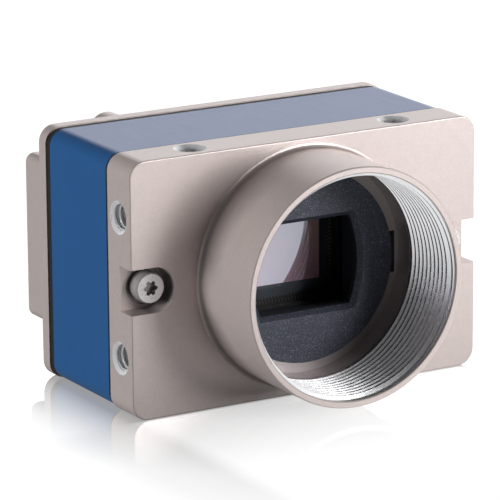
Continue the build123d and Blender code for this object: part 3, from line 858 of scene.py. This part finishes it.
class CAMERA_OT_connectors(bpy.types.Operator):
    """Finish the network jack, the signal connector and the status light"""

    bl_idname = "machine_camera.connectors"
    bl_label = "Connectors and status light"

    def execute(self, context):
        tin = Shader("plated_shell")
        drawn = tin.noise(2500.0, 3.0, tin.stretch((1.0, 0.08, 1.0)))
        tin.set(
            Base_Color=tin.mix(drawn, (0.60, 0.60, 0.61), (0.74, 0.74, 0.75)),
            Metallic=1.0,
            Roughness=tin.blend(drawn, 0.2, 0.34),
            Normal=tin.bump(drawn, 0.000006),
        )
        cover(tin.material, "jack_shell")
        black = Shader("black_moulding")
        fine = black.noise(5000.0, 3.0)
        black.set(
            Base_Color=black.mix(fine, (0.010, 0.010, 0.011), (0.020, 0.020, 0.021)),
            Roughness=black.blend(fine, 0.32, 0.46),
            Normal=black.bump(fine, 0.00001),
        )
        cover(black.material, "jack_body", "io_connector")
        gold = Shader("gold_plate")
        rub = gold.noise(3000.0, 3.0)
        gold.set(
            Base_Color=gold.mix(rub, (0.78, 0.56, 0.22), (0.90, 0.70, 0.34)),
            Metallic=1.0,
            Roughness=gold.blend(rub, 0.16, 0.3),
        )
        cover(gold.material, "jack_contacts", "io_pins")
        lamp = Shader("light_pipe")
        cloud = lamp.noise(900.0, 3.0)
        lamp.set(
            Base_Color=lamp.mix(cloud, (0.72, 0.80, 0.76), (0.82, 0.88, 0.84)),
            Roughness=0.18,
            Transmission_Weight=0.6,
            IOR=1.49,
            Normal=lamp.bump(cloud, 0.00001),
        )
        cover(lamp.material, "status_light")
        return {"FINISHED"}


class CAMERA_OT_stage(bpy.types.Operator):
    """Lay the pale floor, hang the lamps and set the camera"""

    bl_idname = "machine_camera.stage"
    bl_label = "Stage"

    def execute(self, context):
        scene = context.scene
        look = scene.stage_settings
        half = look.floor_size / 2
        mesh = bpy.data.meshes.new("floor")
        corners = [(-half, -half, 0.0), (half, -half, 0.0), (half, half, 0.0), (-half, half, 0.0)]
        mesh.from_pydata(corners, [], [(0, 1, 2, 3)])
        floor = bpy.data.objects.new("floor", mesh)
        # A hair below the body, so that the two share no plane
        floor.location.z = -0.00002
        scene.collection.objects.link(floor)
        self.lay_floor_finish(floor, look)

        middle = Vector((0.0, FACE_Y, AXIS_HEIGHT))
        for name, way, distance, size, power in (
            ("key_lamp", (0.50, -0.76, 0.20), 0.42, (0.14, 0.22), look.key_power),
            ("back_lamp", (0.6, 0.7, 0.4), 0.45, (0.40, 0.40), look.back_power),
            ("side_lamp", (-1.0, 0.22, 0.14), 0.5, (0.20, 0.18), look.side_power),
        ):
            data = bpy.data.lights.new(name, "AREA")
            data.shape = "RECTANGLE"
            data.size, data.size_y = size
            data.energy = power
            lamp = bpy.data.objects.new(name, data)
            lamp.visible_glossy = name != "side_lamp"
            aim = Vector(way).normalized()
            turn = aim.to_track_quat("Z", "Y").to_matrix().to_4x4()
            lamp.matrix_world = Matrix.Translation(middle + aim * distance) @ turn
            scene.collection.objects.link(lamp)
        self.hang_world(scene, look)
        self.set_camera(scene, middle)
        scene.view_settings.view_transform = "Standard"
        return {"FINISHED"}

    def set_camera(self, scene, middle):
        """Look at the middle of the front face from the view's angles, then shift and roll the view"""
        data = bpy.data.cameras.new("view")
        data.sensor_width = FILM_WIDTH
        data.lens = FOCAL_PIXELS / PICTURE_PIXELS * FILM_WIDTH
        data.clip_end = 10.0
        view = bpy.data.objects.new("view", data)
        azimuth, elevation, roll = map(math.radians, (VIEW_AZIMUTH, VIEW_ELEVATION, VIEW_ROLL))
        level = math.cos(elevation)
        back = Vector((math.sin(azimuth) * level, -math.cos(azimuth) * level, math.sin(elevation)))
        right = Vector((math.cos(azimuth), math.sin(azimuth), 0.0))
        up = back.cross(right)
        place = middle + back * VIEW_DISTANCE - right * VIEW_LEFT + up * VIEW_RISE
        turned_right = right * math.cos(roll) + up * math.sin(roll)
        turned_up = up * math.cos(roll) - right * math.sin(roll)
        turn = Matrix((turned_right, turned_up, back)).transposed().to_4x4()
        view.matrix_world = Matrix.Translation(place) @ turn
        scene.collection.objects.link(view)
        scene.camera = view

    def lay_floor_finish(self, floor, look):
        """White floor that shines by itself, with a polish that fades away from the camera body"""
        s = Shader("pale_floor")
        x, y, z = s.split(s.place)

        # Distances from the body's outline, and how much of the way leads to the front
        beside = s.most(s.less(s.math("ABSOLUTE", x), CAD_HIGH.x), 0.0)
        before = s.most(s.math("SUBTRACT", FACE_Y, y), 0.0)
        behind = s.most(s.less(y, CAD_HIGH.y), 0.0)
        reach = s.around(s.around(beside, behind), before)
        share = s.math("DIVIDE", before, s.math("ADD", s.math("ADD", beside, before), 0.0002))
        far = s.around(x, y)

        # Seen by the eye: white with a soft shadow, and a glow dimmed near the body as painted shade, most at
        # a spot left of the front, under the polish
        fade = s.times(reach, s.blend(share, look.side_fade, look.front_fade))
        left = s.math("SUBTRACT", 1.0, fade, clamp=True)
        polish = s.math("POWER", s.times(left, s.blend(share, look.side_polish, look.front_polish)), 1.3)
        spot_x, spot_reach, near_reach = (-0.019, -0.023), (0.014, 0.006), (0.025, 0.07)
        front_tone, spot_tone = 0.95, 0.72
        shade_spot = s.times(s.step(x, *spot_x), s.step(beside, *spot_reach))
        near_shade = s.blend(share, 1.0, s.blend(shade_spot, front_tone, spot_tone))
        white = s.glow(s.blend(s.step(far, *near_reach), near_shade, 1.0))
        seen = s.either(polish, s.both(white, s.matt(0.16)), s.mirror((0.8, 0.8, 0.8), 0.01))

        # Seen in the camera's own reflections: dim on the left, with a painted shadow of the body left of the
        # axis behind the rim, else white
        turn = s.math("DIVIDE", x, s.math("ADD", far, 0.001))
        left_turn, shadow_x, shadow_y = (-0.8, 0.1), (0.006, -0.004), (-0.0195, -0.0155)
        painted_shadow = s.times(s.step(x, *shadow_x), s.step(y, *shadow_y))
        open_floor = s.blend(s.step(turn, *left_turn), look.dim_side, 1.0)
        mirrored = s.glow(s.blend(painted_shadow, open_floor, look.dim_side))

        # Thrown back on the body: a matt floor and a painted pool of light before the barrel and right of it
        pool_x, pool_y, pool_strength = (-0.015, 0.005), (-0.0155, -0.0195), 0.8
        lit = s.times(s.step(x, *pool_x), s.step(y, *pool_y), pool_strength)
        thrown = s.both(s.matt(0.3), s.glow(lit))

        path = s.add("ShaderNodeLightPath").outputs
        direct = s.most(path["Is Camera Ray"], path["Is Transmission Ray"])
        s.show(s.either(direct, s.either(path["Is Glossy Ray"], thrown, mirrored), seen))
        floor.data.materials.append(s.material)

    def hang_world(self, scene, look):
        """White to the eye, soft light on the body, and in reflections a room dim overhead and on the left"""
        world = bpy.data.worlds.new("studio")
        scene.world = world
        world.use_nodes = True
        tree = world.node_tree
        tree.nodes.clear()

        def add(kind, *inputs, **values):
            node = tree.nodes.new(kind)
            for key, value in values.items():
                setattr(node, key, value)
            for socket, value in zip(node.inputs, inputs):
                if isinstance(value, bpy.types.NodeSocket):
                    tree.links.new(value, socket)
                elif value is not None:
                    socket.default_value = value
            return node.outputs

        path = add("ShaderNodeLightPath")
        way = add("ShaderNodeSeparateXYZ", add("ShaderNodeTexCoord")["Generated"])
        rise_weight, dim_end, white_start = -0.6, -0.05, 0.33
        low_right = add("ShaderNodeMath", way["Z"], rise_weight, way["X"], operation="MULTIPLY_ADD")[0]
        wall = add(
            "ShaderNodeMapRange", low_right, dim_end, white_start, look.dim_side, 1.0,
            interpolation_type="SMOOTHSTEP",
        )[0]
        white = (1.0, 1.0, 1.0, 1.0)
        room = add("ShaderNodeBackground", white, look.room_light)[0]
        mirrored = add("ShaderNodeBackground", white, wall)[0]
        seen = add("ShaderNodeBackground", white, 1.0)[0]
        lit = add("ShaderNodeMixShader", path["Is Glossy Ray"], room, mirrored)[0]
        direct = add(
            "ShaderNodeMath", path["Is Camera Ray"], path["Is Transmission Ray"], operation="MAXIMUM"
        )[0]
        whole = add("ShaderNodeMixShader", direct, lit, seen)[0]
        add("ShaderNodeOutputWorld", whole)


OPERATORS = (
    CAMERA_OT_housing, CAMERA_OT_sleeve, CAMERA_OT_threads, CAMERA_OT_screws, CAMERA_OT_baffle,
    CAMERA_OT_sensor, CAMERA_OT_glass, CAMERA_OT_boards, CAMERA_OT_connectors, CAMERA_OT_stage,
)
SETTINGS = {
    "thread_sizes": ThreadSizes, "housing_finish": HousingFinish, "sleeve_finish": SleeveFinish,
    "sensor_sizes": SensorSizes, "stage_settings": StageSettings,
}


class CAMERA_PT_panel(bpy.types.Panel):
    """Buttons and sizes for the camera's finishes"""

    bl_label = "Machine vision camera"
    bl_space_type = "VIEW_3D"
    bl_region_type = "UI"
    bl_category = "Camera"

    def draw(self, context):
        for operator in OPERATORS:
            self.layout.operator(operator.bl_idname)
        for name, group in SETTINGS.items():
            box = self.layout.box()
            box.label(text=group.__doc__)
            for field in group.__annotations__:
                box.prop(getattr(context.scene, name), field)


def register():
    for name, group in SETTINGS.items():
        bpy.utils.register_class(group)
        setattr(bpy.types.Scene, name, bpy.props.PointerProperty(type=group))
    for operator in OPERATORS:
        bpy.utils.register_class(operator)
    bpy.utils.register_class(CAMERA_PT_panel)


def unregister():
    bpy.utils.unregister_class(CAMERA_PT_panel)
    for operator in reversed(OPERATORS):
        bpy.utils.unregister_class(operator)
    for name, group in reversed(SETTINGS.items()):
        delattr(bpy.types.Scene, name)
        bpy.utils.unregister_class(group)


def main():
    register()
    bpy.ops.machine_camera.housing()
    bpy.ops.machine_camera.sleeve()
    bpy.ops.machine_camera.threads()
    bpy.ops.machine_camera.screws()
    bpy.ops.machine_camera.baffle()
    bpy.ops.machine_camera.sensor()
    bpy.ops.machine_camera.glass()
    bpy.ops.machine_camera.boards()
    bpy.ops.machine_camera.connectors()
    bpy.ops.machine_camera.stage()


if __name__ == "__main__":
    main()
